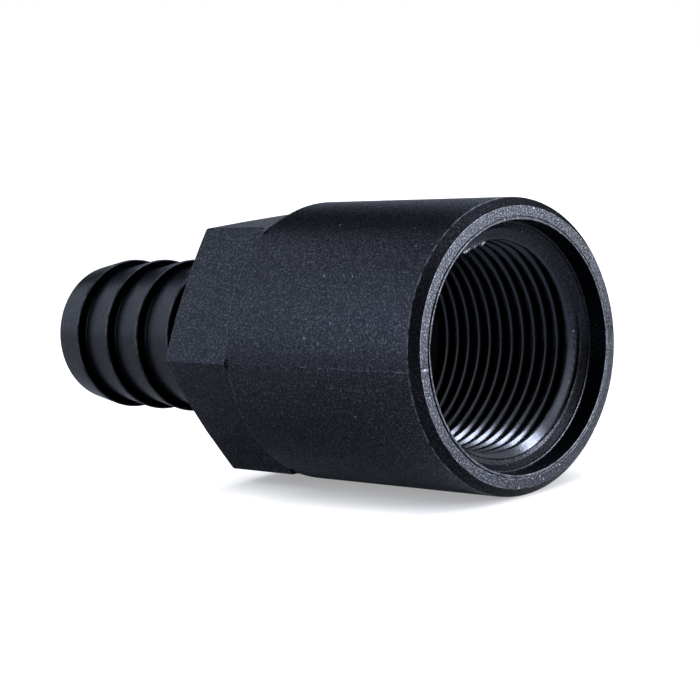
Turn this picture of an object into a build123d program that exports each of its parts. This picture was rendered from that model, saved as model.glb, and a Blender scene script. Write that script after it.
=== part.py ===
from build123d import *
import math
import os

# A moulded hose tail with a hexagon and a socket for a 3/4 in parallel pipe thread. Sizes are in mm.
# The fitting's axis lies along X, with the mouth of the socket at X = 0 facing +X and the hose tail towards -X.

# Socket
SOCKET_R = 16.85
SOCKET_LENGTH = 31.5
RIM_BEVEL = 1.0
REAR_EDGE_CHAMFER = 0.25

# Mouth: a shallow drafted recess, then a lead-in cone down to the thread's crests
RECESS_MOUTH_R = 14.32
RECESS_FLOOR_R = 14.15
RECESS_DEPTH = 2.2
LEAD_IN_DEG = 45.0
THREAD_MINOR_R = 24.117 / 2
SOCKET_DEPTH = 26.0
SOCKET_FLOOR_CHAMFER = 0.8

# Hexagon, with two corners level and flats facing up and down
HEX_ACROSS_FLATS = 30.0
HEX_LENGTH = 11.6
HEX_CORNER_FILLET = 0.45
HEX_CROWN_R = 15.25
HEX_CROWN_DEPTH = 0.6

# Hose tail for a 19 mm (3/4 in) hose: a plain neck, the barbs and a nose that tapers to a rounded tip
NECK_LENGTH = 8.25
NECK_R = 8.9
NECK_FILLET = 1.2
BARB_COUNT = 4
BARB_PITCH = 6.35
BARB_CREST_R = 9.9
BARB_CREST_LAND = 0.2
BARB_HEIGHT = 1.0
BARB_SHOULDER = 0.3
BARB_ROOT_STEP = 0.15
NOSE_LENGTH = 5.6
NOSE_R = 8.95
NOSE_FILLET = 0.9
PASSAGE_R = 7.0
PASSAGE_EXIT_CHAMFER = 0.4

# Stations along the axis, from the mouth to the tip
socket_floor_x = -SOCKET_DEPTH
hex_front_x = -SOCKET_LENGTH
hex_rear_x = hex_front_x - HEX_LENGTH
crest_xs = [hex_rear_x - NECK_LENGTH - i * BARB_PITCH for i in range(BARB_COUNT)]
tip_x = crest_xs[-1] - NOSE_LENGTH


def solid_of_revolution(points):
    """The closed outline through the points, given as (x, radius), turned about the fitting's axis."""
    return revolve(make_face(Polyline(*points, close=True)), axis=Axis.X)


def circles_at(part, x, radius):
    """The circular edges of the part that lie at this station and radius."""
    return [
        e
        for e in part.edges().filter_by(GeomType.CIRCLE)
        if abs(e.arc_center.X - x) < 0.01 and abs(e.radius - radius) < 0.01
    ]


# Outside of the socket, from the bevelled rim to the shoulder behind the hexagon's front
socket = solid_of_revolution(
    [
        (0, 0),
        (0, SOCKET_R - RIM_BEVEL),
        (-RIM_BEVEL, SOCKET_R),
        (hex_front_x + REAR_EDGE_CHAMFER, SOCKET_R),
        (hex_front_x, SOCKET_R - REAR_EDGE_CHAMFER),
        (hex_front_x, 0),
    ]
)

# Hexagon: its corners stand a little proud of the socket, and a shallow crown cuts them back at the rear
hex_across_corners = HEX_ACROSS_FLATS / math.cos(math.radians(30))
hex_face = fillet(RegularPolygon(hex_across_corners / 2, 6).vertices(), HEX_CORNER_FILLET)
hex_plane = Plane(origin=(hex_front_x, 0, 0), x_dir=(0, 1, 0), z_dir=(-1, 0, 0))
hex_block = extrude(hex_plane * hex_face, HEX_LENGTH)
crown_slope = HEX_CROWN_DEPTH / (hex_across_corners / 2 - HEX_CROWN_R)
crown_reach = SOCKET_R + 5
hex_block &= solid_of_revolution(
    [
        (hex_front_x, 0),
        (hex_front_x, crown_reach),
        (hex_rear_x + crown_slope * (crown_reach - HEX_CROWN_R), crown_reach),
        (hex_rear_x, HEX_CROWN_R),
        (hex_rear_x, 0),
    ]
)

# Hose tail: each barb has a steep shoulder on the hexagon's side and a long taper towards the tip.
# Each shoulder runs out in a small step, on the neck or at the foot of the next barb's taper.
tail_points = [(hex_rear_x, 0), (hex_rear_x, NECK_R)]
for crest_x in crest_xs:
    foot_r = NECK_R if crest_x == crest_xs[0] else BARB_CREST_R - BARB_HEIGHT
    tail_points += [
        (crest_x + BARB_SHOULDER + 2 * BARB_ROOT_STEP, foot_r),
        (crest_x + BARB_SHOULDER, foot_r + BARB_ROOT_STEP),
        (crest_x, BARB_CREST_R),
        (crest_x - BARB_CREST_LAND, BARB_CREST_R),
    ]
tail_points += [(tip_x, NOSE_R), (tip_x, 0)]
tail = solid_of_revolution(tail_points)
tail = fillet(circles_at(tail, tip_x, NOSE_R), NOSE_FILLET)

body = socket + hex_block + tail
body = fillet(circles_at(body, hex_rear_x, NECK_R), NECK_FILLET)

# Inside: the recess, the lead-in cone and the bore at the thread's crests, then the passage through the tail
lead_in_length = (RECESS_FLOOR_R - THREAD_MINOR_R) / math.tan(math.radians(LEAD_IN_DEG))
thread_start_x = -RECESS_DEPTH - lead_in_length
socket_space = solid_of_revolution(
    [
        (0, 0),
        (0, RECESS_MOUTH_R),
        (-RECESS_DEPTH, RECESS_FLOOR_R),
        (thread_start_x, THREAD_MINOR_R),
        (socket_floor_x + SOCKET_FLOOR_CHAMFER, THREAD_MINOR_R),
        (socket_floor_x, THREAD_MINOR_R - SOCKET_FLOOR_CHAMFER),
        (socket_floor_x, 0),
    ]
)
passage = solid_of_revolution(
    [
        (socket_floor_x, 0),
        (socket_floor_x, PASSAGE_R),
        (tip_x + PASSAGE_EXIT_CHAMFER, PASSAGE_R),
        (tip_x, PASSAGE_R + PASSAGE_EXIT_CHAMFER),
        (tip_x, 0),
    ]
)
fitting = body - socket_space - passage

os.makedirs("parts", exist_ok=True)
solid = fitting.solids()[0]
print("solids", len(fitting.solids()), "valid", solid.is_valid, "volume", round(solid.volume, 1))
print("centre of mass", solid.center(CenterOf.MASS), "box", solid.bounding_box())
print("thread bore from", round(thread_start_x, 4), "to", socket_floor_x + SOCKET_FLOOR_CHAMFER)
export_step(solid, "parts/hose_barb_fitting.step")
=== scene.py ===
"""A moulded hose tail with a hexagon and a threaded socket, dressed and lit for the camera.

The fitting's axis is X. The mouth of the socket is at X = 0 and faces +X, and the hose tail
points towards -X. Sizes are held in millimetres and meshes are made in metres. Angles round the
axis are in degrees, from 0 on the -Y side through 90 at the top (+Z) to 180 on the +Y side.
"""

from __future__ import annotations

import logging
import math
from collections.abc import Callable, Sequence
from dataclasses import dataclass, field, replace
from enum import Enum
from functools import reduce
from typing import Any

import bmesh
import bpy
from mathutils import Matrix, Vector, noise

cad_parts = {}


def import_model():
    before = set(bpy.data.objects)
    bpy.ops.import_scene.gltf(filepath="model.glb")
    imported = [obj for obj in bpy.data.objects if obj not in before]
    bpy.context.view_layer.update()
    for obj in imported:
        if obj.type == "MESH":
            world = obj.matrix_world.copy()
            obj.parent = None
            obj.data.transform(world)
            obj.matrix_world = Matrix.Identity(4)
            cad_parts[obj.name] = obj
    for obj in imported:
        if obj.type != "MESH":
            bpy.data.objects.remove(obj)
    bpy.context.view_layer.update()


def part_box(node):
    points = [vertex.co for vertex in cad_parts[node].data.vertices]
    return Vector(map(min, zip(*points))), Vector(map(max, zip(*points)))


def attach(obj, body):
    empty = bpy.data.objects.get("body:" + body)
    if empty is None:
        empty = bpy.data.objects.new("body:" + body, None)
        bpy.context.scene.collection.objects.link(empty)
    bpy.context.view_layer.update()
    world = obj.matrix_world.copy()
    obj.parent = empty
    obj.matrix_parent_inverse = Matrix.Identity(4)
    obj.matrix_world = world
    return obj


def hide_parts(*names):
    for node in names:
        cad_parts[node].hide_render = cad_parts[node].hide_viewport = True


LOG = logging.getLogger("fitting")
NODE_NAME = "hose_barb_fitting"
Flow = bpy.types.NodeSocket
MM = 0.001

# Points nearer to each other than this, in metres, are one point
WELD_M = 1.0e-6
# How far a guard point stands from its arc, in mm, and at most as a share of the room for the arc
GUARD_MM = 0.06
GUARD_SHARE = 0.1
# How much of the shorter of its two sides an arc may take up
ROOM_SHARE = 0.42
# How slowly an edge's mark fades along its arc: the lower, the wider the mark. The mark brings a
# rub with a painted highlight on an outer edge and a painted shade in a hollow
CROWN_FALL = 0.6
# Two angles nearer than this, in degrees, are the same
RING_STEP = 0.01
# The columns of points round the axis, without those that the hexagon's corners add
COLUMNS = 180
# Half of the angle that one side of the hexagon takes up
HALF_SIDE_DEG = 30.0


class Zone(Enum):
    """The kinds of surface that the mould leaves on the fitting. The rim's finish is also painted
    lighter and the bevel's darker, as painted light and shade.
    """

    OUTSIDE = 0
    TAIL = 1
    MOUTH = 2
    THREAD = 3
    PASSAGE = 4
    RIM = 5
    BEVEL = 6


# ---------------------------------------------------------------- node trees


class Graph:
    """A node tree, geometry or shader, with short calls for the nodes that it is made of."""

    def __init__(self, tree: bpy.types.NodeTree) -> None:
        """Starts on an empty tree.

        Args:
            tree: The node tree, which loses the nodes that it comes with.
        """
        self.tree = tree
        self.given: Any = None
        tree.nodes.clear()

    @classmethod
    def group(cls, name: str, kind: str, inputs: dict[str, str], outputs: dict[str, str]) -> Graph:
        """Starts a node group, with its own inputs in the graph's given sockets.

        Args:
            name: The group's name.
            kind: GeometryNodeTree or ShaderNodeTree.
            inputs: The kind of each input, such as Float.
            outputs: The kind of each output.

        Returns:
            The new group's graph.
        """
        graph = cls(bpy.data.node_groups.new(name, kind))
        for direction, kinds in (("INPUT", inputs), ("OUTPUT", outputs)):
            for label, sort in kinds.items():
                socket_type = f"NodeSocket{sort}"
                graph.tree.interface.new_socket(label, in_out=direction, socket_type=socket_type)
        graph.given = graph.add("NodeGroupInput").outputs
        return graph

    def add(self, kind: str, **values: Any) -> bpy.types.Node:
        """Adds a node.

        Args:
            kind: The node's type, such as ShaderNodeMath.
            values: Properties of the node by name.

        Returns:
            The new node.
        """
        node = self.tree.nodes.new(kind)
        for name, value in values.items():
            setattr(node, name, value)
        return node

    def feed(self, socket: Flow, value: Any) -> None:
        """Links a socket to an input, or sets the input's own value.

        Args:
            socket: The input.
            value: A socket to link or a value to set. None leaves the input alone.
        """
        if isinstance(value, Flow):
            self.tree.links.new(value, socket)
        elif value is not None:
            socket.default_value = value

    def node(self, kind: str, inputs: dict[str | int, Any], **values: Any) -> bpy.types.Node:
        """Adds a node and feeds its inputs.

        Args:
            kind: The node's type.
            inputs: A socket or value for each input, by name or number.
            values: Properties of the node by name.

        Returns:
            The new node.
        """
        node = self.add(kind, **values)
        for key, value in inputs.items():
            self.feed(node.inputs[key], value)
        return node

    def math(self, operation: str, a: Any, b: Any = None, c: Any = None) -> Flow:
        """Returns the result of a Math node on up to three inputs."""
        inputs = {0: a, 1: b, 2: c}
        return self.node("ShaderNodeMath", inputs, operation=operation).outputs[0]

    def plus(self, a: Any, b: Any) -> Flow:
        """Returns the sum of two inputs."""
        return self.math("ADD", a, b)

    def minus(self, a: Any, b: Any) -> Flow:
        """Returns the first input less the second."""
        return self.math("SUBTRACT", a, b)

    def times(self, *factors: Any) -> Flow:
        """Returns the product of the inputs."""
        return reduce(lambda a, b: self.math("MULTIPLY", a, b), factors)

    def ramp(self, value: Any, low: Any, high: Any, to_low: Any = 0.0, to_high: Any = 1.0) -> Flow:
        """Takes a value smoothly from one range to another.

        Args:
            value: The value.
            low: The start of its range, which may be above the end.
            high: The end of its range.
            to_low: What the start becomes.
            to_high: What the end becomes.

        Returns:
            The new value.
        """
        inputs = {"Value": value, "From Min": low, "From Max": high}
        inputs |= {"To Min": to_low, "To Max": to_high}
        return self.node("ShaderNodeMapRange", inputs, interpolation_type="SMOOTHSTEP").outputs[0]

    def noise(self, where: Any, scale: Any, detail: float, roughness: float) -> Flow:
        """Returns a fractal noise at a place."""
        inputs = {"Vector": where, "Scale": scale, "Detail": detail, "Roughness": roughness}
        return self.node("ShaderNodeTexNoise", inputs).outputs[0]

    def dress(self, geometry: Flow) -> None:
        """Ends a geometry group: makes its copies real and puts them out in its material.

        Args:
            geometry: What the group has made.
        """
        real = self.node("GeometryNodeRealizeInstances", {0: geometry})
        inputs = {"Geometry": real.outputs[0], "Material": self.given["Material"]}
        dressed = self.node("GeometryNodeSetMaterial", inputs)
        self.node("NodeGroupOutput", {0: dressed.outputs[0]})


def held(value: float) -> float:
    """Returns a value held between 0 and 1."""
    return min(max(value, 0.0), 1.0)


def placed(name: str, data: bpy.types.ID) -> bpy.types.Object:
    """Puts a new object in the scene.

    Args:
        name: The object's name.
        data: Its mesh, lamp or camera.

    Returns:
        The object.
    """
    item = bpy.data.objects.new(name, data)
    bpy.context.scene.collection.objects.link(item)
    return item


def made_by_nodes(name: str, tree: bpy.types.NodeTree, values: dict[str, Any]) -> bpy.types.Mesh:
    """Runs a geometry tree on an empty object and keeps what it makes as a plain mesh.

    Args:
        name: A name for the mesh.
        tree: The geometry tree.
        values: A value for each of the tree's inputs, by name.

    Returns:
        The plain mesh.
    """
    host = placed(f"{name}_host", bpy.data.meshes.new(f"{name}_host"))
    modifier = host.modifiers.new(name, "NODES")
    modifier.node_group = tree
    for item in tree.interface.items_tree:
        if item.in_out == "INPUT" and item.name in values:
            modifier[item.identifier] = values[item.name]
    graph = bpy.context.evaluated_depsgraph_get()
    mesh = bpy.data.meshes.new_from_object(host.evaluated_get(graph), depsgraph=graph)
    mesh.name = name
    bpy.data.objects.remove(host)
    return mesh


# ---------------------------------------------------------------- sections


@dataclass(frozen=True)
class Corner:
    """One corner of a section through the wall, in mm, its rounding and the surface after it."""

    x: float
    r: float
    zone: Zone
    rounding: float = 0.0
    steps: int = 3


@dataclass(frozen=True)
class Station:
    """One point of a rounded section. Edge is 1 on an outer edge's crown, which gets a rub and a
    painted highlight, and -1 in a hollow, which gets a painted shade.
    """

    x: float
    r: float
    zone: Zone
    edge: float = 0.0


def rounded(corners: Sequence[Corner]) -> list[Station]:
    """Rounds the corners of a section, with a guard point on each side of every arc.

    Args:
        corners: The corners in order, with the wall on the left of the way along them.

    Returns:
        The points of the rounded section. Their number depends only on the corners' steps.
    """
    stations: list[Station] = []
    for i, corner in enumerate(corners):
        if corner.rounding == 0.0:
            stations.append(Station(corner.x, corner.r, corner.zone))
            continue
        here = Vector((corner.x, corner.r))
        to_last = Vector((corners[i - 1].x, corners[i - 1].r)) - here
        to_next = Vector((corners[i + 1].x, corners[i + 1].r)) - here
        half = to_last.angle(to_next, math.pi) / 2
        room = ROOM_SHARE * min(to_last.length, to_next.length)
        reach = min(corner.rounding / math.tan(half), room)
        guard = min(GUARD_MM, GUARD_SHARE * room)
        back, ahead = to_last.normalized(), to_next.normalized()
        radius = reach * math.tan(half)
        middle = here + (back + ahead).normalized() * (radius / math.sin(half))
        turn = back.y * ahead.x - back.x * ahead.y
        last_zone = corners[i - 1].zone
        start = here + back * (reach + guard)
        stations.append(Station(start.x, start.y, last_zone))
        first, final = here + back * reach - middle, here + ahead * reach - middle
        from_angle = math.atan2(first.y, first.x)
        sweep = (math.atan2(final.y, final.x) - from_angle + math.pi) % math.tau - math.pi
        for k in range(corner.steps + 1):
            share = k / corner.steps
            spoke = from_angle + sweep * share
            spot = middle + Vector((math.cos(spoke), math.sin(spoke))) * radius
            # The mark on the arc's crown: positive on an outer edge, for a rub with a painted
            # highlight, negative in a hollow, for a painted shade
            crown = math.sin(math.pi * share) ** CROWN_FALL if 0 < share < 1 else 0.0
            edge = math.copysign(crown, turn)
            zone = corner.zone if share > 0.5 else last_zone
            stations.append(Station(spot.x, spot.y, zone, edge))
        end = here + ahead * (reach + guard)
        stations.append(Station(end.x, end.y, corner.zone))
    return stations


# ---------------------------------------------------------------- the wall as one mesh


def around(x: float, r: float, angle: float) -> tuple[float, float, float]:
    """Returns the point, in metres, at a station, radius and angle given in mm and degrees."""
    turn = math.radians(angle)
    return (x * MM, -r * math.cos(turn) * MM, r * math.sin(turn) * MM)


@dataclass
class Wall:
    """The fitting's skin, gathered band by band before it becomes one closed mesh."""

    points: list[tuple[float, float, float]] = field(default_factory=list)
    edges: list[float] = field(default_factory=list)
    faces: list[tuple[int, ...]] = field(default_factory=list)
    zones: list[int] = field(default_factory=list)

    def add_band(
        self,
        angles: Sequence[float],
        section: Callable[[float], list[Station]],
        mark: Callable[[float, float, float], tuple[float, float, float]] | None = None,
    ) -> tuple[list[int], list[int]]:
        """Adds a band of rings, from the same section at each angle.

        Args:
            angles: The angle of each column.
            section: Gives the section's points at an angle.
            mark: Gives a small push along the axis and outwards, and the point's mark of wear and
                painted light, from its station, radius and angle.

        Returns:
            The point numbers of the first ring and of the last ring.
        """
        base = len(self.points)
        count = 0
        for angle in angles:
            stations = section(angle)
            count = len(stations)
            for s in stations:
                dx, dr, wear_and_light = mark(s.x, s.r, angle) if mark else (0.0, 0.0, 0.0)
                self.points.append(around(s.x + dx, s.r + dr, angle))
                # A positive mark rubs the edge and paints a highlight on it, a negative one paints
                # shade
                crown = max(s.edge, wear_and_light)
                self.edges.append(crown if crown > 0 else min(s.edge, wear_and_light))
        for i in range(len(angles)):
            j = (i + 1) % len(angles)
            for k in range(count - 1):
                a, b = base + i * count + k, base + j * count + k
                self.faces.append((a, b, b + 1, a + 1))
        zones = [s.zone.value for s in section(angles[0])][: count - 1]
        self.zones += zones * len(angles)
        columns = range(len(angles))
        return [base + i * count for i in columns], [base + i * count + count - 1 for i in columns]

    def add_mesh(self, mesh: bpy.types.Mesh, zone: Zone) -> int:
        """Adds a mesh that has its own edge marks.

        Args:
            mesh: The mesh, in metres.
            zone: Its kind of surface.

        Returns:
            The number of its first point.
        """
        base = len(self.points)
        self.points += [tuple(v.co) for v in mesh.vertices]
        self.edges += [item.value for item in mesh.attributes["edge"].data]
        self.faces += [tuple(base + v for v in p.vertices) for p in mesh.polygons]
        self.zones += [zone.value] * len(mesh.polygons)
        return base

    def angle_of(self, point: int) -> float:
        """Works out where a point is round the axis.

        Args:
            point: The point's number.

        Returns:
            Its angle, from 0 up to 360 degrees.
        """
        _, y, z = self.points[point]
        angle = math.degrees(math.atan2(z, -y))
        return 0.0 if abs(angle) < 1e-3 else angle % 360.0

    def zip_rings(self, one: Sequence[int], other: Sequence[int], zone: Zone) -> None:
        """Joins two rings that have different numbers of points, both with one at angle 0.

        Args:
            one: The point numbers of the first ring.
            other: The point numbers of the second ring.
            zone: The kind of surface between them.
        """
        left, right = (
            sorted((self.angle_of(p), p) for p in ring) + [(360.0, min(ring, key=self.angle_of))]
            for ring in (one, other)
        )
        i = j = 0
        while i < len(left) - 1 or j < len(right) - 1:
            next_left = left[i + 1][0] if i < len(left) - 1 else math.inf
            next_right = right[j + 1][0] if j < len(right) - 1 else math.inf
            here = (left[i][1], right[j][1])
            if abs(next_left - next_right) < RING_STEP:
                self.faces.append((*here, right[j + 1][1], left[i + 1][1]))
                i, j = i + 1, j + 1
            elif next_left < next_right:
                self.faces.append((*here, left[i + 1][1]))
                i += 1
            else:
                self.faces.append((*here, right[j + 1][1]))
                j += 1
            self.zones.append(zone.value)

    def to_mesh(self, name: str) -> bpy.types.Mesh:
        """Welds the bands into one closed mesh with its faces outward.

        Args:
            name: The mesh's name.

        Returns:
            The mesh, with a material number for each zone and the point attribute "edge".
        """
        mesh = bpy.data.meshes.new(name)
        mesh.from_pydata(self.points, [], self.faces)
        mesh.attributes.new("edge", "FLOAT", "POINT").data.foreach_set("value", self.edges)
        mesh.polygons.foreach_set("material_index", self.zones)
        shell = bmesh.new()
        shell.from_mesh(mesh)
        bmesh.ops.remove_doubles(shell, verts=shell.verts, dist=WELD_M)
        bmesh.ops.dissolve_degenerate(shell, edges=shell.edges, dist=WELD_M / 4)
        bmesh.ops.recalc_face_normals(shell, faces=shell.faces)
        open_edges = sum(len(e.link_faces) != 2 for e in shell.edges)
        if shell.calc_volume(signed=True) < 0:
            bmesh.ops.reverse_faces(shell, faces=shell.faces)
        LOG.info("%s: %d faces, %d open edges", name, len(shell.faces), open_edges)
        shell.to_mesh(mesh)
        shell.free()
        mesh.shade_smooth()
        return mesh


# ---------------------------------------------------------------- sub-assemblies


@dataclass
class Mouth:
    """The mouth of the socket: the lead-in cone, the recess, the thin lip and the flat rim."""

    join_x: float = -2.9
    cone_foot_r: float = 14.15
    recess_x: float = -2.2
    recess_floor_r: float = 14.15
    recess_mouth_r: float = 14.32
    ledge: float = 0.16
    ledge_run: float = 0.06
    cone_end: float = 0.22
    lip_height: float = 0.10
    lip_width: float = 0.2
    lip_rounding: float = 0.09
    groove_depth: float = 0.16
    groove_foot: float = 0.05
    groove_floor: float = 0.17
    groove_width: float = 0.24
    rim_r: float = 15.85
    crisp: float = 0.05
    crisper: float = 0.04

    def corners(self) -> list[Corner]:
        """Draws the section from the lead-in cone out to the rim's outer edge.

        Returns:
            The section's corners.
        """
        lip_r = self.recess_mouth_r + self.lip_width
        cone_r = self.cone_foot_r - self.cone_end
        ledge_r = self.recess_floor_r - self.ledge
        return [
            Corner(self.join_x, self.cone_foot_r + self.join_x - self.recess_x, Zone.MOUTH),
            Corner(self.recess_x - self.cone_end, cone_r, Zone.MOUTH, self.crisp, 2),
            Corner(self.recess_x - self.ledge_run, ledge_r, Zone.MOUTH, self.crisper, 2),
            Corner(self.recess_x, self.recess_floor_r, Zone.MOUTH, self.crisp, 2),
            Corner(self.lip_height, self.recess_mouth_r, Zone.RIM, self.lip_rounding, 4),
            Corner(self.lip_height, lip_r, Zone.RIM, self.crisp, 2),
            Corner(-self.groove_depth, lip_r + self.groove_foot, Zone.RIM, self.crisper, 2),
            Corner(-self.groove_depth, lip_r + self.groove_floor, Zone.RIM, self.crisper, 2),
            Corner(0.0, lip_r + self.groove_width, Zone.RIM, self.crisp, 2),
            Corner(0.0, self.rim_r, Zone.BEVEL, self.crisp, 2),
        ]


@dataclass
class Socket:
    """The outside of the socket, from its bevel to the small chamfer in front of the hexagon."""

    radius: float = 16.85
    bevel: float = 1.0
    bevel_rounding: float = 0.34
    length: float = 31.5
    rear_rounding: float = 0.35

    def corners(self) -> list[Corner]:
        """Returns the section from the bevel to the socket's rear edge."""
        rear = -self.length
        return [
            Corner(-self.bevel, self.radius, Zone.OUTSIDE, self.bevel_rounding, 5),
            Corner(-self.length / 3, self.radius, Zone.OUTSIDE),
            Corner(-self.length * 2 / 3, self.radius, Zone.OUTSIDE),
            Corner(rear, self.radius, Zone.OUTSIDE, self.rear_rounding, 5),
        ]


@dataclass
class Hexagon:
    """The spanner hexagon, with corners at 0, 60, 120 degrees and a shallow crown at the rear."""

    across_flats: float = 30.0
    front_x: float = -31.5
    length: float = 11.6
    corner_rounding: float = 0.45
    front_rounding: float = 0.1
    crown_r: float = 15.25
    crown_depth: float = 0.6
    crown_rounding: float = 0.16
    crown_gap: float = 0.01

    @staticmethod
    def off_corner(angle: float) -> float:
        """Returns how far an angle is from the nearest corner."""
        return abs((angle + HALF_SIDE_DEG) % (2 * HALF_SIDE_DEG) - HALF_SIDE_DEG)

    @property
    def sharp_r(self) -> float:
        """The radius of a corner before it is rounded."""
        return self.across_flats / 2 / math.cos(math.radians(HALF_SIDE_DEG))

    def radius(self, angle: float) -> float:
        """Follows the hexagon's outline, with its rounded corners.

        Args:
            angle: The angle round the axis.

        Returns:
            How far the outline is from the axis, in mm.
        """
        off = self.off_corner(angle)
        flat_share = math.cos(math.radians(HALF_SIDE_DEG))
        hub = (self.across_flats / 2 - self.corner_rounding) / flat_share
        tangent = math.atan2(self.corner_rounding * 0.5, hub + self.corner_rounding * flat_share)
        if off >= math.degrees(tangent):
            return self.across_flats / 2 / math.cos(math.radians(HALF_SIDE_DEG - off))
        reach = hub * math.sin(math.radians(off))
        return hub * math.cos(math.radians(off)) + math.sqrt(self.corner_rounding**2 - reach**2)

    def corners(self, angle: float) -> list[Corner]:
        """Draws the section over the hexagon, down to the crown's inner circle.

        Args:
            angle: The angle round the axis.

        Returns:
            The section's corners.
        """
        r = self.radius(angle)
        slope = self.crown_depth / (self.sharp_r - self.crown_r)
        rear = self.front_x - self.length
        crown_x = rear + slope * max(r - self.crown_r, 0.0)
        return [
            Corner(self.front_x, r, Zone.OUTSIDE, self.front_rounding, 3),
            Corner(self.front_x - self.length / 2, r, Zone.OUTSIDE),
            Corner(crown_x, r, Zone.OUTSIDE, self.crown_rounding, 4),
            Corner(rear, min(self.crown_r, r) - self.crown_gap, Zone.OUTSIDE),
        ]


@dataclass
class HoseTail:
    """The hose tail: a plain neck, four barbs and a nose that tapers to a rounded tip."""

    root_x: float = -43.1
    neck_length: float = 8.25
    neck_r: float = 8.9
    neck_fillet: float = 1.2
    barb_count: int = 4
    barb_pitch: float = 6.35
    crest_r: float = 9.9
    crest_land: float = 0.2
    shoulder: float = 0.45
    foot_rounding: float = 1.3
    # The painted shade on each barb's shoulder and foot: how far it reaches, how it fades and where
    # it is laid
    shade_reach: float = 1.9
    shade_fade: float = 1.5
    shade_room: float = 3.5
    shade_back: float = 0.02
    crest_rounding: float = 0.32
    join: float = 1.2
    nose_length: float = 5.6
    nose_r: float = 8.95
    nose_rounding: float = 1.3

    @property
    def top_r(self) -> float:
        """The radius of a crest before it is rounded."""
        return self.crest_r + self.crest_land / 6

    @property
    def first_crest_x(self) -> float:
        """The station of the crest nearest to the hexagon."""
        return self.root_x - self.neck_length

    @property
    def last_crest_x(self) -> float:
        """The station of the crest nearest to the tail's end."""
        return self.first_crest_x - (self.barb_count - 1) * self.barb_pitch

    @property
    def tip_x(self) -> float:
        """The station of the tail's end."""
        return self.last_crest_x - self.nose_length

    def taper_r(self, below: float) -> float:
        """Returns the radius of a barb's taper at a distance below its crest."""
        run = self.barb_pitch - self.shoulder - self.crest_land / 2
        return self.top_r - (below - self.crest_land / 2) * (self.top_r - self.neck_r) / run

    def shoulder_corners(self, crest_x: float) -> list[Corner]:
        """Returns the section up one barb's shoulder, over its crest and on to its taper."""
        crest = crest_x - self.crest_land / 2
        return [
            Corner(crest_x + self.shoulder, self.neck_r, Zone.TAIL, self.foot_rounding, 8),
            Corner(crest, self.top_r, Zone.TAIL, self.crest_rounding, 6),
            Corner(crest_x - self.join, self.taper_r(self.join), Zone.TAIL),
        ]

    def neck_corners(self) -> list[Corner]:
        """Returns the section from the hexagon's rear face to the first barb's taper."""
        return [
            Corner(self.root_x, self.neck_r, Zone.TAIL, self.neck_fillet, 6),
            Corner(self.first_crest_x + self.shade_reach, self.neck_r, Zone.TAIL),
            *self.shoulder_corners(self.first_crest_x),
        ]

    def barb_section(self) -> list[Station]:
        """Draws the section from one barb's taper over the next barb to its taper.

        Returns:
            The rounded section.
        """
        start = self.first_crest_x
        shade_x = self.barb_pitch - self.shade_reach
        section = rounded(
            [
                Corner(start - self.join, self.taper_r(self.join), Zone.TAIL),
                Corner(start - shade_x, self.taper_r(shade_x), Zone.TAIL),
                *self.shoulder_corners(start - self.barb_pitch),
            ]
        )
        # The next barb's shoulder and foot are marked for painted shade
        return self.shaded(section, start - self.barb_pitch)

    def shaded(self, stations: Sequence[Station], crest_x: float) -> list[Station]:
        """Marks the shoulder and foot in front of a crest with painted shade, fading along the
        taper.

        Args:
            stations: A rounded section that runs over the crest.
            crest_x: The station of the crest.

        Returns:
            The same section with its marks.
        """
        marked: list[Station] = []
        for s in stations:
            ahead = s.x - crest_x
            # Painted shade, darkest at the foot and fading up the taper
            deep = held((self.shade_reach - ahead) / self.shade_fade)
            marked.append(replace(s, edge=-deep) if ahead > -self.shade_back and deep > 0.0 else s)
        return marked

    def nose_corners(self) -> list[Corner]:
        """Returns the section from the last barb's taper to the tail's end."""
        return [
            Corner(self.last_crest_x - self.join, self.taper_r(self.join), Zone.TAIL),
            Corner(self.tip_x, self.nose_r, Zone.TAIL, self.nose_rounding, 8),
        ]

    def repeat_tree(self) -> bpy.types.NodeTree:
        """Builds the geometry tree that sets copies of one barb along the axis.

        Returns:
            The tree.
        """
        inputs = {"Barb": "Object", "Count": "Int", "Pitch": "Float", "Material": "Material"}
        graph = Graph.group("Barb row", "GeometryNodeTree", inputs, {"Geometry": "Geometry"})
        back = graph.times(graph.given["Pitch"], -1.0)
        offset = graph.node("ShaderNodeCombineXYZ", {"X": back}).outputs[0]
        line = {"Count": graph.given["Count"], "Offset": offset}
        places = graph.node("GeometryNodeMeshLine", line, mode="OFFSET").outputs[0]
        barb = graph.node("GeometryNodeObjectInfo", {"Object": graph.given["Barb"]})
        placing = {"Points": places, "Instance": barb.outputs["Geometry"]}
        copies = graph.node("GeometryNodeInstanceOnPoints", placing)
        graph.dress(copies.outputs[0])
        return graph.tree

    def build_barbs(self, angles: Sequence[float], material: bpy.types.Material) -> bpy.types.Mesh:
        """Makes every barb but the first, which the neck runs up to.

        Args:
            angles: The angle of each column of points.
            material: The tail's material.

        Returns:
            The barbs as one open band.
        """
        one = Wall()
        section = self.barb_section()
        one.add_band(angles, lambda _: section)
        mesh = bpy.data.meshes.new("one_barb")
        mesh.from_pydata(one.points, [], one.faces)
        mesh.attributes.new("edge", "FLOAT", "POINT").data.foreach_set("value", one.edges)
        barb = placed("one_barb", mesh)
        values = {"Barb": barb, "Count": self.barb_count - 1, "Pitch": self.barb_pitch * MM}
        values["Material"] = material
        row = made_by_nodes("barb_row", self.repeat_tree(), values)
        bpy.data.objects.remove(barb)
        return row


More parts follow.
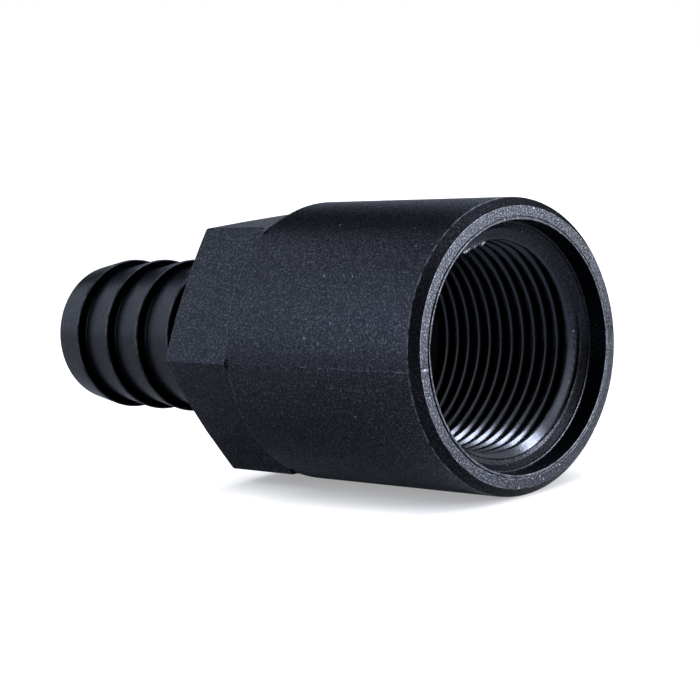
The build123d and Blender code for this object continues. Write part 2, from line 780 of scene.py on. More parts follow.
@dataclass
class Passage:
    """The passage from the tail's end to the socket, and the socket's floor."""

    radius: float = 7.0
    exit_chamfer: float = 0.4
    floor_x: float = -26.0
    floor_chamfer: float = 0.8
    join_x: float = -25.1
    exit_rounding: float = 0.12
    floor_rounding: float = 0.2
    foot_rounding: float = 0.15
    crisp: float = 0.04

    def corners(self, tip_x: float, bore_r: float) -> list[Corner]:
        """Returns the section from the tail's end, up the passage and over the socket's floor.

        Args:
            tip_x: The station of the tail's end.
            bore_r: The radius of the socket's bore at its floor.

        Returns:
            The section's corners.
        """
        return [
            Corner(tip_x, self.radius + self.exit_chamfer, Zone.TAIL, self.exit_rounding, 2),
            Corner(tip_x + self.exit_chamfer, self.radius, Zone.PASSAGE, self.exit_rounding, 2),
            Corner((tip_x + self.floor_x) / 2, self.radius, Zone.PASSAGE),
            Corner(self.floor_x, self.radius, Zone.PASSAGE, self.floor_rounding, 3),
            Corner(self.floor_x, bore_r - self.floor_chamfer, Zone.PASSAGE, self.foot_rounding, 2),
            Corner(self.floor_x + self.floor_chamfer, bore_r, Zone.PASSAGE, self.crisp, 2),
            Corner(self.join_x, bore_r, Zone.THREAD),
        ]


@dataclass
class ThreadedBore:
    """The pipe thread inside the socket, made as one helical surface by a geometry tree."""

    pitch: float = 1.8143
    minor_r: float = 12.0585
    major_r: float = 13.2205
    root_rounding: float = 0.3
    crest_rounding: float = 0.14
    crest_excess: float = 0.13
    flank_deg: float = 27.5
    groove_x: float = -4.11
    start_x: float = -3.014
    start_slope: float = 1.2
    front_x: float = -3.0
    front_r: float = 13.35
    back_x: float = -25.0
    run_out: float = 1.6
    step_x: float = -3.7
    step_r: float = 12.25
    columns: int = COLUMNS
    lines_per_pitch: int = 20
    burr: float = 0.36
    burr_angle: float = 79.0
    burr_spread: float = 10.0
    burr_core: float = 0.75
    burr_run: tuple[float, float] = (1.6, 1.2)
    burr_rise: tuple[float, float] = (0.5, 0.1)
    burr_mark: float = 1.6
    crest_mark: float = 0.22
    speckle_scale: float = 420.0
    speckle_detail: float = 3.0
    speckle_roughness: float = 0.7
    speckle_range: tuple[float, float] = (0.36, 0.5)
    seed: int = 5

    def sizes(self) -> dict[str, float]:
        """Lists the tree's sizes: lengths in metres, angles in degrees, and slopes.

        Returns:
            Each size by the name of its input.
        """
        lengths = {
            "Pitch": self.pitch,
            "Minor Radius": self.minor_r,
            "Major Radius": self.major_r,
            "Root Rounding": self.root_rounding,
            "Crest Rounding": self.crest_rounding,
            "Crest Excess": self.crest_excess,
            "Groove Place": self.groove_x,
            "Front": self.front_x,
            "Front Radius": self.front_r,
            "Start": self.start_x,
            "Back": self.back_x,
            "Run Out": self.run_out,
            "Burr Height": self.burr,
        }
        sizes = {name: length * MM for name, length in lengths.items()}
        sizes["Flank Slope"] = 1 / math.tan(math.radians(self.flank_deg))
        sizes["Start Slope"] = self.start_slope
        sizes["Burr Angle"] = self.burr_angle
        sizes["Burr Spread"] = self.burr_spread
        return sizes

    def counts(self) -> dict[str, int]:
        """Returns the tree's whole numbers, by the names of its inputs."""
        return {"Columns": self.columns, "Lines per Pitch": self.lines_per_pitch, "Seed": self.seed}

    def tree(self) -> bpy.types.NodeTree:
        """Builds the geometry tree that makes the threaded wall from its named sizes.

        Returns:
            The tree.
        """
        inputs = dict.fromkeys(self.sizes(), "Float") | dict.fromkeys(self.counts(), "Int")
        inputs["Material"] = "Material"
        graph = Graph.group("Threaded wall", "GeometryNodeTree", inputs, {"Geometry": "Geometry"})
        given = graph.given
        steps = self.steps(graph)
        grid = graph.node(
            "GeometryNodeMeshGrid",
            {
                "Size X": 1.0,
                "Size Y": 1.0,
                "Vertices X": graph.plus(given["Columns"], 1.0),
                "Vertices Y": graph.plus(steps, 1.0),
            },
        )
        flat = graph.add("GeometryNodeInputPosition").outputs[0]
        place = graph.node("ShaderNodeSeparateXYZ", {0: flat})
        turn = graph.plus(place.outputs["X"], 0.5)
        line = graph.times(graph.plus(place.outputs["Y"], 0.5), steps)
        down = graph.plus(turn, graph.math("DIVIDE", line, given["Lines per Pitch"]))
        free_x = graph.math("MULTIPLY_ADD", graph.minus(1.0, down), given["Pitch"], given["Front"])
        x = graph.math("MAXIMUM", graph.math("MINIMUM", free_x, given["Front"]), given["Back"])
        kept = graph.ramp(x, given["Back"], graph.plus(given["Back"], given["Run Out"]))
        wall = self.wall_radius(graph, turn, x, kept)
        burr = self.burr_mask(graph, turn, x, wall)
        r = graph.minus(wall, graph.times(burr, given["Burr Height"]))
        # The crests' mark gives them a faint rub with a painted highlight, and the burr's mark
        # paints it pale as a painted glitter
        marked_r = graph.plus(given["Minor Radius"], self.crest_mark * MM)
        crest = graph.ramp(wall, marked_r, given["Minor Radius"])
        pale_and_highlight = graph.plus(graph.times(crest, kept), graph.times(burr, self.burr_mark))
        angle = graph.times(turn, math.tau)
        y = graph.times(graph.math("COSINE", angle), r, -1.0)
        z = graph.times(graph.math("SINE", angle), r)
        spot = graph.node("ShaderNodeCombineXYZ", {"X": x, "Y": y, "Z": z}).outputs[0]
        marked = graph.node(
            "GeometryNodeStoreNamedAttribute",
            {"Geometry": grid.outputs["Mesh"], "Name": "edge", "Value": pale_and_highlight},
            data_type="FLOAT",
            domain="POINT",
        )
        flat_sheet = {"Geometry": marked.outputs[0], "Position": spot}
        rolled = graph.node("GeometryNodeSetPosition", flat_sheet)
        weld = {"Geometry": rolled.outputs[0], "Distance": WELD_M}
        graph.dress(graph.node("GeometryNodeMergeByDistance", weld).outputs[0])
        return graph.tree

    @staticmethod
    def steps(graph: Graph) -> Flow:
        """Works out how many lines the helical sheet needs from the front to the back.

        Args:
            graph: The tree's graph.

        Returns:
            The number of lines, a whole number.
        """
        given = graph.given
        span = graph.math("DIVIDE", graph.minus(given["Front"], given["Back"]), given["Pitch"])
        return graph.math("CEIL", graph.times(graph.plus(span, 1.0), given["Lines per Pitch"]))

    @staticmethod
    def wall_radius(graph: Graph, turn: Flow, x: Flow, kept: Flow) -> Flow:
        """Adds the nodes for the thread's form, which runs out before the socket's floor.

        Args:
            graph: The tree's graph.
            turn: The share of a turn round the axis.
            x: The station.
            kept: How much of the groove's depth is left.

        Returns:
            The radius of the wall, where the lead-in cone ends in a steep step to the first crest.
        """
        given = graph.given
        ahead = graph.math("DIVIDE", graph.minus(given["Groove Place"], x), given["Pitch"])
        turns = graph.math("FRACT", graph.minus(ahead, turn))
        part = graph.math("ABSOLUTE", graph.minus(turns, 0.5))
        centred = graph.times(graph.minus(part, 0.25), given["Pitch"])
        quarter = graph.math("MULTIPLY_ADD", given["Crest Excess"], -0.5, centred)
        middle_r = graph.times(graph.plus(given["Minor Radius"], given["Major Radius"]), 0.5)
        flank = graph.math("MULTIPLY_ADD", quarter, given["Flank Slope"], middle_r)
        root = graph.math("SMOOTH_MIN", flank, given["Major Radius"], given["Root Rounding"])
        form = graph.math("SMOOTH_MAX", root, given["Minor Radius"], given["Crest Rounding"])
        depth = graph.times(graph.minus(form, given["Minor Radius"]), kept)
        threaded = graph.plus(given["Minor Radius"], depth)
        cone = graph.plus(given["Front Radius"], graph.minus(x, given["Front"]))
        past = graph.math("MINIMUM", graph.minus(x, given["Start"]), 0.0)
        start = graph.math("MULTIPLY_ADD", past, given["Start Slope"], cone)
        return graph.math("SMOOTH_MAX", threaded, start, GUARD_MM * MM)

    def burr_mask(self, graph: Graph, turn: Flow, x: Flow, wall: Flow) -> Flow:
        """Adds the nodes for the ragged burr on the first crest.

        Args:
            graph: The tree's graph.
            turn: The share of a turn round the axis.
            x: The station.
            wall: The wall's radius.

        Returns:
            The burr's height at a point, from 0 to 1.
        """
        given = graph.given
        where = {
            "Vector": graph.node("ShaderNodeCombineXYZ", {"X": turn, "Y": x}).outputs[0],
            "W": given["Seed"],
            "Scale": self.speckle_scale,
            "Detail": self.speckle_detail,
            "Roughness": self.speckle_roughness,
        }
        speckle = graph.node("ShaderNodeTexNoise", where, noise_dimensions="4D").outputs[0]
        off = graph.math("ABSOLUTE", graph.minus(graph.times(turn, 360.0), given["Burr Angle"]))
        core = graph.times(given["Burr Spread"], self.burr_core)
        near = graph.ramp(off, given["Burr Spread"], core)
        rises = (graph.plus(given["Minor Radius"], rise * MM) for rise in self.burr_rise)
        runs = (graph.minus(given["Front"], run * MM) for run in self.burr_run)
        crest, first = graph.ramp(wall, *rises), graph.ramp(x, *runs)
        ragged = graph.ramp(speckle, *self.speckle_range)
        return graph.times(graph.times(near, crest), graph.times(first, ragged))

    def build(self, material: bpy.types.Material) -> bpy.types.Mesh:
        """Makes the threaded wall as a plain mesh.

        Args:
            material: The thread's material.

        Returns:
            The wall, an open tube with a plain ring of points at each end.
        """
        values: dict[str, Any] = {**self.sizes(), **self.counts(), "Material": material}
        return made_by_nodes("threaded_wall", self.tree(), values)


@dataclass(frozen=True)
class Scar:
    """A small dent in the mouth, with its place and size in mm and degrees."""

    angle: float
    r: float
    long: float
    wide: float
    depth: float

    def push(self, r: float, angle: float) -> float:
        """Works out how far the dent pushes the surface in along the axis.

        Args:
            r: The radius.
            angle: The angle round the axis.

        Returns:
            The depth in mm.
        """
        off = (angle - self.angle + 180.0) % 360.0 - 180.0
        u = math.radians(off) * self.r / self.long
        v = (r - self.r) / self.wide
        return self.depth * math.exp(-(u * u + v * v))


@dataclass
class MouldMarks:
    """What moulding and use leave: the parting line and nicks in the mouth, with pale marks on the
    parting line and the hexagon's corners that are partly wear and partly a painted highlight, and
    a painted shade on one side of the rim.
    """

    ridge: float = 0.055
    ridge_width: float = 0.07
    ridge_r: float = 14.9
    ridge_reach: float = 1.0
    # How pale the parting line is marked, partly wear and partly a painted highlight
    ridge_wear_and_highlight: float = 1.15
    wave_pitch: tuple[float, float] = (0.9, 0.05)
    wave_low: float = 0.75
    wave_height: float = 0.5
    wave_seed: float = 1.7
    bevel_x: float = -1.0
    bevel_share: tuple[float, float] = (0.1, 0.5)
    faint: float = 0.35
    faint_x: float = -22.0
    faint_run: float = 14.0
    scar_x: float = -0.3
    scar_r: float = 15.4
    # Painted shade on the rim, strongest round this angle, between +Y and the bottom
    rim_shade_angle: float = 228.0
    rim_shade_strength: float = 0.85
    rim_shade_most: float = 0.62
    rim_shade_x: float = -0.01
    rim_shade_r: float = 14.7
    hexagon_x: tuple[float, float] = (-43.2, -31.4)
    hexagon_r: float = 16.0
    # The hexagon's corners are marked pale, partly wear and partly a painted highlight
    corner_wear_and_highlight: float = 0.42
    corner_fall: float = 0.5
    corner_reach: float = 1.3
    corner_ridge: float = 0.7
    scars: tuple[Scar, ...] = (
        Scar(0.6, 14.86, 0.22, 0.16, 0.16),
        Scar(-1.9, 14.62, 0.3, 0.12, 0.09),
        Scar(7.5, 14.36, 1.1, 0.16, 0.1),
        Scar(177.0, 14.9, 0.5, 0.12, 0.12),
        Scar(181.5, 14.84, 0.35, 0.1, 0.1),
        Scar(186.0, 14.8, 0.5, 0.1, 0.09),
    )

    def push(self, x: float, r: float, angle: float) -> tuple[float, float, float]:
        """Returns the push along the axis and outwards, and the mark of wear and painted light, at
        a place on the wall.

        Args:
            x: The station.
            r: The radius.
            angle: The angle round the axis.

        Returns:
            The two pushes in mm, and the mark, which is positive for wear with a painted highlight
            and negative for painted shade on one side of the rim.
        """
        dx = dr = wear_and_light = 0.0
        if x > self.scar_x and r < self.scar_r:
            dx = -sum(scar.push(r, angle) for scar in self.scars)
        off = abs((angle + 90.0) % 180.0 - 90.0)
        if r > self.ridge_r and off < self.ridge_reach:
            across = math.radians(off) * r / self.ridge_width
            per_mm, per_degree = self.wave_pitch
            spot = Vector((x * per_mm, angle * per_degree, self.wave_seed))
            wave = self.wave_low + self.wave_height * noise.noise(spot)
            fade = self.faint + (1.0 - self.faint) * held((x - self.faint_x) / self.faint_run)
            wear_and_light = wave * fade * math.exp(-across * across)
            dr = self.ridge * wear_and_light
            wear_and_light = min(self.ridge_wear_and_highlight * wear_and_light, 1.0)
            if x > self.bevel_x:
                ahead, outwards = self.bevel_share
                dx, dr, wear_and_light = dx + ahead * dr, outwards * dr, 0.0
        corner_off = Hexagon.off_corner(angle)
        rear, front = self.hexagon_x
        if rear < x < front and r > self.hexagon_r and corner_off < self.corner_reach:
            corner = self.corner_wear_and_highlight - self.corner_fall * corner_off
            wear_and_light = max(self.corner_ridge * wear_and_light, corner)
        # Painted shade on the side of the rim round the shade angle
        if x > self.rim_shade_x and r > self.rim_shade_r:
            side = self.rim_shade_strength * math.cos(math.radians(angle - self.rim_shade_angle))
            wear_and_light = -min(max(side, 0.0), self.rim_shade_most)
        return dx, dr, wear_and_light


def column_angles() -> list[float]:
    """Sets out the wall's columns, closer together at the hexagon's corners.

    Returns:
        The angle of each column, in order.
    """
    close = (0.12, 0.25, 0.4, 0.55, 0.75, 0.95)
    angles = {round(360.0 / COLUMNS * i, 3) for i in range(COLUMNS)}
    for corner in range(0, 360, round(2 * HALF_SIDE_DEG)):
        angles |= {round((corner + side * step) % 360, 3) for step in close for side in (-1, 1)}
    return sorted(angles)


@dataclass
class Fitting:
    """The whole moulding, as one closed mesh."""

    mouth: Mouth = field(default_factory=Mouth)
    socket: Socket = field(default_factory=Socket)
    hexagon: Hexagon = field(default_factory=Hexagon)
    tail: HoseTail = field(default_factory=HoseTail)
    passage: Passage = field(default_factory=Passage)
    thread: ThreadedBore = field(default_factory=ThreadedBore)
    marks: MouldMarks = field(default_factory=MouldMarks)

    def front_section(self, angle: float) -> list[Station]:
        """Draws the section from the lead-in cone, over the outside, to the first barb.

        Args:
            angle: The angle round the axis.

        Returns:
            The rounded section.
        """
        corners = [
            *self.mouth.corners(),
            *self.socket.corners(),
            *self.hexagon.corners(angle),
            *self.tail.neck_corners(),
        ]
        stations = rounded(corners)
        # The neck's first shoulder and foot are marked for painted shade
        crest_x = self.tail.first_crest_x
        neck = next(i for i, s in enumerate(stations) if s.x < crest_x + self.tail.shade_room)
        return stations[:neck] + self.tail.shaded(stations[neck:], crest_x)

    def rear_section(self, _: float) -> list[Station]:
        """Returns the section from the last barb round the nose and up to the socket's bore."""
        return rounded(
            [*self.tail.nose_corners(), *self.passage.corners(self.tail.tip_x, self.thread.minor_r)]
        )

    def build(self, materials: dict[Zone, bpy.types.Material]) -> bpy.types.Object:
        """Makes the moulding.

        Args:
            materials: A material for each zone.

        Returns:
            The object, at the origin, with its place in its mesh.
        """
        wall = Wall()
        angles = column_angles()
        cone_ring, _ = wall.add_band(angles, self.front_section, self.marks.push)
        _, floor_ring = wall.add_band(angles, self.rear_section)
        wall.add_mesh(self.tail.build_barbs(angles, materials[Zone.TAIL]), Zone.TAIL)
        first_face = len(wall.faces)
        base = wall.add_mesh(self.thread.build(materials[Zone.THREAD]), Zone.THREAD)
        first_free = len(wall.points)
        step_x, step_r = self.thread.step_x * MM, self.thread.step_r * MM
        for number in range(first_face, len(wall.faces)):
            spots = [wall.points[p] for p in wall.faces[number]]
            if all(x > step_x and math.hypot(y, z) > step_r for x, y, z in spots):
                wall.zones[number] = Zone.MOUTH.value
        for ring, x, zone in (
            (cone_ring, self.thread.front_x, Zone.MOUTH),
            (floor_ring, self.thread.back_x, Zone.THREAD),
        ):
            tube = range(base, first_free)
            end = [p for p in tube if abs(wall.points[p][0] - x * MM) < WELD_M / 10]
            wall.zip_rings(ring, end, zone)
        mesh = wall.to_mesh("fitting_moulding")
        for zone in Zone:
            mesh.materials.append(materials[zone])
        return placed("fitting_moulding", mesh)


# ---------------------------------------------------------------- finishes


# How fine the shreds of the ragged burr are
SHRED_SCALE = 2400.0


def grain_group() -> bpy.types.NodeTree:
    """Builds the shader group for the sand-like grain of a blasted mould, with cloudy patches.

    Returns:
        The group, which puts out the grain's height, its tone and its glints.
    """
    inputs = {"Vector": "Vector", "Scale": "Float"}
    outputs = dict.fromkeys(("Height", "Tone", "Glint"), "Float")
    graph = Graph.group("Mould grain", "ShaderNodeTree", inputs, outputs)

    def noise_at(factor: float, detail: float, roughness: float) -> Flow:
        """Returns a noise whose scale is the grain's own times a factor."""
        scale = graph.times(graph.given["Scale"], factor)
        return graph.noise(graph.given["Vector"], scale, detail, roughness)

    coarse = graph.times(noise_at(1.0, 2.0, 0.6), 0.6)
    fine = graph.times(noise_at(2.1, 1.0, 0.5), 0.4)
    height = graph.plus(coarse, fine)
    cloudy = graph.ramp(noise_at(0.03, 3.0, 0.55), 0.3, 0.7)
    tone = graph.plus(graph.times(graph.ramp(height, 0.36, 0.66), 0.8), graph.times(cloudy, 0.2))
    glint = graph.ramp(noise_at(0.95, 1.0, 0.5), 0.5, 0.66)
    graph.node("NodeGroupOutput", {"Height": height, "Tone": tone, "Glint": glint})
    return graph.tree


def fleck_group() -> bpy.types.NodeTree:
    """Builds the shader group for scattered pale flecks of dust and fibre.

    Returns:
        The group, which puts out a mask of the flecks.
    """
    inputs = {"Vector": "Vector", "Scale": "Float", "Share": "Float"}
    graph = Graph.group("Pale flecks", "ShaderNodeTree", inputs, {"Mask": "Float"})
    place = {"Vector": graph.given["Vector"], "Scale": graph.given["Scale"], "Randomness": 1.0}
    cells = graph.node("ShaderNodeTexVoronoi", place)
    pick = graph.node("ShaderNodeSeparateXYZ", {0: cells.outputs["Color"]})
    chosen = graph.math("LESS_THAN", pick.outputs[0], graph.given["Share"])
    size = graph.math("MULTIPLY_ADD", pick.outputs[1], 0.16, 0.08)
    spot = graph.ramp(cells.outputs["Distance"], size, graph.times(size, 0.4))
    bright = graph.math("MULTIPLY_ADD", pick.outputs[2], 0.8, 0.2)
    graph.node("NodeGroupOutput", {"Mask": graph.times(chosen, spot, bright)})
    return graph.tree


def rub_and_highlight_group() -> bpy.types.NodeTree:
    """Builds the shader group for rubbed edges that also carry a painted highlight, from the mesh's
    edge marks.

    Returns:
        The group, which puts out masks of rubbed and highlighted edges, of painted shade in hollows
        and of the ragged burr's painted glitter.
    """
    inputs = {"Vector": "Vector", "Edge": "Float", "Scale": "Float"}
    outputs = dict.fromkeys(("Rub And Highlight", "Painted Shade", "Burr Glitter"), "Float")
    graph = Graph.group("Rubbed and highlighted edges", "ShaderNodeTree", inputs, outputs)
    given = graph.given
    patches = graph.noise(given["Vector"], given["Scale"], 4.0, 0.65)
    # Rubbed edges, which also carry a painted highlight
    rub_and_highlight = graph.times(graph.ramp(given["Edge"], 0.25, 1.0), graph.ramp(patches, 0.34, 0.64))
    # Painted shade in hollows and on the rim's shaded side
    painted_shade = graph.ramp(given["Edge"], -0.2, -1.0)
    # The burr's pale shreds, a painted glitter
    shreds = graph.ramp(graph.noise(given["Vector"], SHRED_SCALE, 2.0, 0.6), 0.49, 0.56)
    ragged = graph.times(graph.ramp(given["Edge"], 1.1, 1.6), shreds)
    graph.node("NodeGroupOutput", {"Rub And Highlight": rub_and_highlight, "Painted Shade": painted_shade, "Burr Glitter": ragged})
    return graph.tree


@dataclass(frozen=True)
class PlasticFinish:
    """Black moulded plastic as one part of the mould leaves it. Its colour also carries painted
    light: glints, highlights on rubbed edges and shade in hollows. Colours are linear.
    """

    name: str
    colour: tuple[float, float, float]
    lift: tuple[float, float, float]
    roughness: float
    roughness_spread: float
    specular: float
    grain_scale: float
    grain_depth_mm: float
    fleck_share: float
    rub_and_highlight: float
    glint: float = 0.0
    coat: float = 0.0
    coat_grain: float = 1.0
    coat_roughness: float = 0.3
    sheen_tint: tuple[float, float, float] = (0.74, 0.8, 1.0)
    # The pale colour of rubbed edges, with their painted highlight, and of painted glints; then the
    # near-black colour of painted shade
    rub_and_highlight_colour: tuple[float, float, float] = (0.5, 0.52, 0.6)
    painted_shade_colour: tuple[float, float, float] = (0.0006, 0.0008, 0.0012)
    # The colour of pale dust flecks and of the burr's painted glitter
    fleck_and_glitter_colour: tuple[float, float, float] = (0.5, 0.52, 0.56)
    fleck_scale: float = 1700.0
    rub_and_highlight_scale: float = 900.0

    def build(self, groups: dict[str, bpy.types.NodeTree]) -> bpy.types.Material:
        """Makes the material.

        Args:
            groups: The shared shader groups, by name.

        Returns:
            The material.
        """
        material = bpy.data.materials.new(self.name)
        material.use_nodes = True
        graph = Graph(material.node_tree)
        where = graph.add("ShaderNodeTexCoord").outputs["Object"]
        edge = graph.add("ShaderNodeAttribute", attribute_name="edge").outputs["Fac"]
        values = {
            "grain": {"Vector": where, "Scale": self.grain_scale},
            "fleck": {"Vector": where, "Scale": self.fleck_scale, "Share": self.fleck_share},
            "rub_and_highlight": {"Vector": where, "Edge": edge, "Scale": self.rub_and_highlight_scale},
        }
        grain, flecks, rub_and_highlight = (
            graph.node("ShaderNodeGroup", given, node_tree=groups[name]).outputs
            for name, given in values.items()
        )
        toned = self.mix(graph, grain["Tone"], self.colour, self.lift)
        # Painted glints: pale specks mixed into the base colour
        painted_glints = self.mix(graph, graph.times(grain["Glint"], self.glint), toned, self.rub_and_highlight_colour)
        # Rubbed edges, paler with wear and with a painted highlight
        wear_and_light = self.mix(graph, graph.times(rub_and_highlight["Rub And Highlight"], self.rub_and_highlight), painted_glints, self.rub_and_highlight_colour)
        # Painted shade in hollows and on one side of the rim
        shaded = self.mix(graph, rub_and_highlight["Painted Shade"], wear_and_light, self.painted_shade_colour)
        # Pale dust flecks, and the burr's painted glitter
        pale_and_highlight = graph.math("MAXIMUM", flecks["Mask"], rub_and_highlight["Burr Glitter"])
        flecked = self.mix(graph, pale_and_highlight, shaded, self.fleck_and_glitter_colour)
        grainy = graph.math("MULTIPLY_ADD", grain["Glint"], self.coat_grain, 1.0 - self.coat_grain)
        # The coat is taken away where shade is painted
        outside_painted_shade = graph.math("MULTIPLY_ADD", rub_and_highlight["Painted Shade"], -1.0, 1.0)
        coat = graph.times(grainy, outside_painted_shade, self.coat)
        spread = graph.math("MULTIPLY_ADD", grain["Tone"], -self.roughness_spread, self.roughness)
        relief = {"Strength": 1.0, "Distance": self.grain_depth_mm * MM, "Height": grain["Height"]}
        bump = graph.node("ShaderNodeBump", relief)
        shader = graph.node(
            "ShaderNodeBsdfPrincipled",
            {
                "Base Color": flecked,
                "Roughness": spread,
                "Normal": bump.outputs[0],
                "Coat Weight": coat,
                "Coat Roughness": self.coat_roughness,
                "Specular IOR Level": self.specular,
                "Specular Tint": (*self.sheen_tint, 1.0),
            },
        )
        graph.node("ShaderNodeOutputMaterial", {"Surface": shader.outputs[0]})
        return material

    @staticmethod
    def mix(graph: Graph, share: Any, low: Any, high: Any) -> Flow:
        """Mixes two colours, each a socket or a linear colour.

        Args:
            graph: The material's graph.
            share: How much of the second colour shows.
            low: The first colour.
            high: The second colour.

        Returns:
            The mixed colour.
        """
        node = graph.add("ShaderNodeMix", data_type="RGBA")
        graph.feed(node.inputs["Factor"], share)
        for number, colour in ((6, low), (7, high)):
            graph.feed(node.inputs[number], (*colour, 1.0) if isinstance(colour, tuple) else colour)
        return node.outputs[2]


FINISHES: dict[Zone, PlasticFinish] = {
    Zone.OUTSIDE: PlasticFinish(
        name="blasted_black_plastic", colour=(0.0005, 0.0007, 0.0016), lift=(0.0026, 0.003, 0.0058),
        roughness=0.4, roughness_spread=0.2, specular=0.19, grain_scale=5200.0, grain_depth_mm=0.05,
        fleck_share=0.09, rub_and_highlight=0.26, glint=0.012, coat=1.0,
    ),
    Zone.TAIL: PlasticFinish(
        name="smooth_black_plastic", colour=(0.0012, 0.0015, 0.003), lift=(0.003, 0.0034, 0.006),
        roughness=0.4, roughness_spread=0.12, specular=0.0, grain_scale=3600.0,
        grain_depth_mm=0.012, fleck_share=0.012, rub_and_highlight=0.15, coat=0.92, coat_grain=0.25,
    ),
    Zone.MOUTH: PlasticFinish(
        name="mouth_black_plastic", colour=(0.0008, 0.001, 0.0018), lift=(0.0035, 0.004, 0.007),
        roughness=0.32, roughness_spread=0.14, specular=0.3, grain_scale=4200.0,
        grain_depth_mm=0.03, fleck_share=0.02, rub_and_highlight=0.25, coat=0.5,
    ),
    Zone.THREAD: PlasticFinish(
        name="threaded_black_plastic", colour=(0.0008, 0.001, 0.0018), lift=(0.002, 0.0025, 0.004),
        roughness=0.22, roughness_spread=0.08, specular=0.68, grain_scale=3800.0,
        grain_depth_mm=0.008, fleck_share=0.0, rub_and_highlight=0.05,
    ),
    # The rim: scuffed, and also painted lighter, with painted glints and highlighted edges, for the
    # light it catches
    Zone.RIM: PlasticFinish(
        name="scuffed_and_lit_black_plastic", colour=(0.001, 0.0012, 0.002), lift=(0.012, 0.0125, 0.016),
        roughness=0.4, roughness_spread=0.2, specular=0.34, grain_scale=4800.0, grain_depth_mm=0.05,
        fleck_share=0.08, rub_and_highlight=1.0, glint=0.12, coat=1.0,
    ),
    Zone.PASSAGE: PlasticFinish(
        name="passage_black_plastic", colour=(0.001, 0.0012, 0.0016), lift=(0.003, 0.0035, 0.005),
        roughness=0.62, roughness_spread=0.14, specular=0.25, grain_scale=3600.0,
        grain_depth_mm=0.02, fleck_share=0.0, rub_and_highlight=0.3,
    ),
    # The bevel: a copy of the outside's plastic with a darker colour, painted shade
    Zone.BEVEL: PlasticFinish(
        name="shaded_bevel_black_plastic", colour=(0.0005, 0.0007, 0.0014),
        lift=(0.002, 0.0023, 0.0042), roughness=0.4, roughness_spread=0.2, specular=0.12,
        grain_scale=5200.0, grain_depth_mm=0.05, fleck_share=0.06, rub_and_highlight=0.26, coat=0.55,
    ),
}


# ---------------------------------------------------------------- studio


WHITE = (1.0, 1.0, 1.0, 1.0)
COOL = (0.7, 0.79, 1.0)
NEUTRAL = (0.9, 0.93, 1.0)


@dataclass(frozen=True)
class Softbox:
    """A plain soft lamp that faces the fitting, placed in degrees and sized in metres."""

    name: str
    azimuth: float
    elevation: float
    width: float
    height: float
    radiance: float
    colour: tuple[float, float, float]
    distance: float = 0.8

    def build(self, target: Vector) -> bpy.types.Object:
        """Makes the lamp and turns it to the target.

        Args:
            target: The point that it faces.

        Returns:
            The lamp.
        """
        data = bpy.data.lights.new(self.name, "AREA")
        data.shape = "RECTANGLE"
        data.size, data.size_y = self.width, self.height
        data.energy = self.radiance * math.pi * self.width * self.height
        data.color = self.colour
        lamp = placed(self.name, data)
        back = heading(self.azimuth, self.elevation)
        lamp.location = target + back * self.distance
        lamp.rotation_mode = "QUATERNION"
        lamp.rotation_quaternion = (-back).to_track_quat("-Z", "Y")
        return lamp


def heading(azimuth: float, elevation: float) -> Vector:
    """Turns two angles into a direction.

    Args:
        azimuth: The angle from -Y towards +X, in degrees.
        elevation: The angle above the floor, in degrees.

    Returns:
        The direction, with a length of 1.
    """
    turn, rise = math.radians(azimuth), math.radians(elevation)
    level = math.cos(rise)
    return Vector((math.sin(turn) * level, -math.cos(turn) * level, math.sin(rise)))


